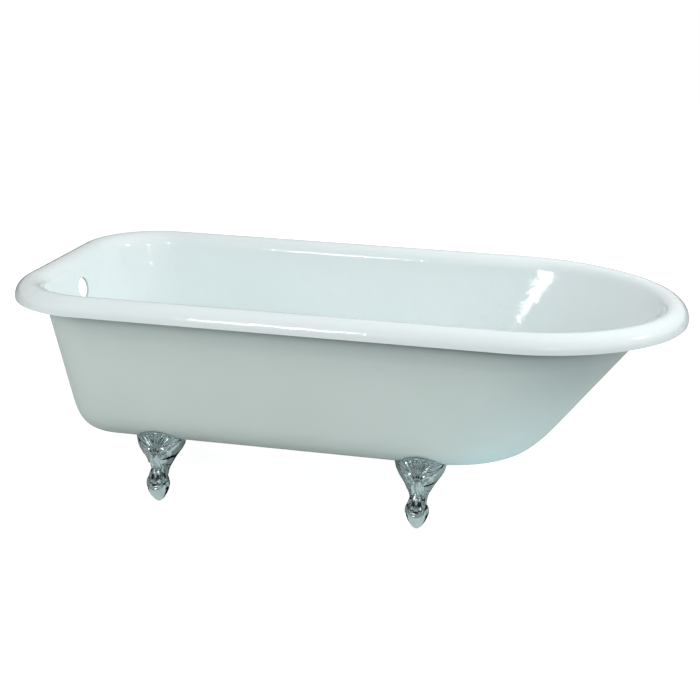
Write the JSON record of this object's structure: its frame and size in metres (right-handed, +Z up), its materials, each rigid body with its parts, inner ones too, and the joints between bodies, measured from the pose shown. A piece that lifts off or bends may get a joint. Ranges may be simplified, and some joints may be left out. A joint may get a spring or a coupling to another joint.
{
  "type": "clawfoot bathtub",
  "caption": "Free-standing roll-rim bathtub with a flat tap end, a sloping round back and claw-and-ball feet with screw levellers.",
  "frame": {"origin": "on the floor, under the middle of the tub's length and width", "axes": "+X towards the round sloping back, -X towards the flat tap end, +Z up; the feet face -Y and +Y"},
  "size_m": [1.676, 0.787, 0.569],
  "materials": {
    "enamelled_iron": "white vitreous enamel inside and on the rolled rim, satin pale grey paint outside",
    "chromed_iron": "polished chrome plate on cast iron",
    "zinc_steel": "bright zinc plate",
    "black_nylon": "matt black nylon"
  },
  "bodies": {
    "tub": {"tub_shell": "enamelled_iron", "foot_tap_near": "chromed_iron", "foot_tap_far": "chromed_iron", "foot_back_near": "chromed_iron", "foot_back_far": "chromed_iron", "foot_bolt_tap_near": "zinc_steel", "foot_bolt_tap_far": "zinc_steel", "foot_bolt_back_near": "zinc_steel", "foot_bolt_back_far": "zinc_steel", "foot_washer_tap_near": "zinc_steel", "foot_washer_tap_far": "zinc_steel", "foot_washer_back_near": "zinc_steel", "foot_washer_back_far": "zinc_steel", "foot_nut_tap_near": "zinc_steel", "foot_nut_tap_far": "zinc_steel", "foot_nut_back_near": "zinc_steel", "foot_nut_back_far": "zinc_steel"},
    "glide_tap_near": {"leveller_glide_tap_near": "black_nylon"},
    "screw_tap_near": {"leveller_screw_tap_near": "zinc_steel"},
    "glide_tap_far": {"leveller_glide_tap_far": "black_nylon"},
    "screw_tap_far": {"leveller_screw_tap_far": "zinc_steel"},
    "glide_back_near": {"leveller_glide_back_near": "black_nylon"},
    "screw_back_near": {"leveller_screw_back_near": "zinc_steel"},
    "glide_back_far": {"leveller_glide_back_far": "black_nylon"},
    "screw_back_far": {"leveller_screw_back_far": "zinc_steel"}
  },
  "joints": [
    {"name": "leveller_slide_tap_near", "type": "slide", "parent": "tub", "child": "glide_tap_near", "axis": [0, 0, -1], "range_m": [0, 0.012]},
    {"name": "leveller_turn_tap_near", "type": "hinge", "parent": "glide_tap_near", "child": "screw_tap_near", "pos_m": [-0.466, -0.246, 0.02], "axis": [0, 0, -1], "range_deg": [0, 2880]},
    {"name": "leveller_slide_tap_far", "type": "slide", "parent": "tub", "child": "glide_tap_far", "axis": [0, 0, -1], "range_m": [0, 0.012]},
    {"name": "leveller_turn_tap_far", "type": "hinge", "parent": "glide_tap_far", "child": "screw_tap_far", "pos_m": [-0.466, 0.246, 0.02], "axis": [0, 0, -1], "range_deg": [0, 2880]},
    {"name": "leveller_slide_back_near", "type": "slide", "parent": "tub", "child": "glide_back_near", "axis": [0, 0, -1], "range_m": [0, 0.012]},
    {"name": "leveller_turn_back_near", "type": "hinge", "parent": "glide_back_near", "child": "screw_back_near", "pos_m": [0.21, -0.246, 0.02], "axis": [0, 0, -1], "range_deg": [0, 2880]},
    {"name": "leveller_slide_back_far", "type": "slide", "parent": "tub", "child": "glide_back_far", "axis": [0, 0, -1], "range_m": [0, 0.012]},
    {"name": "leveller_turn_back_far", "type": "hinge", "parent": "glide_back_far", "child": "screw_back_far", "pos_m": [0.21, 0.246, 0.02], "axis": [0, 0, -1], "range_deg": [0, 2880]}
  ],
  "couplings": [
    {"joint": "leveller_slide_tap_near", "follows": "leveller_turn_tap_near", "m_per_rad": 0.00023873},
    {"joint": "leveller_slide_tap_far", "follows": "leveller_turn_tap_far", "m_per_rad": 0.00023873},
    {"joint": "leveller_slide_back_near", "follows": "leveller_turn_back_near", "m_per_rad": 0.00023873},
    {"joint": "leveller_slide_back_far", "follows": "leveller_turn_back_far", "m_per_rad": 0.00023873}
  ]
}
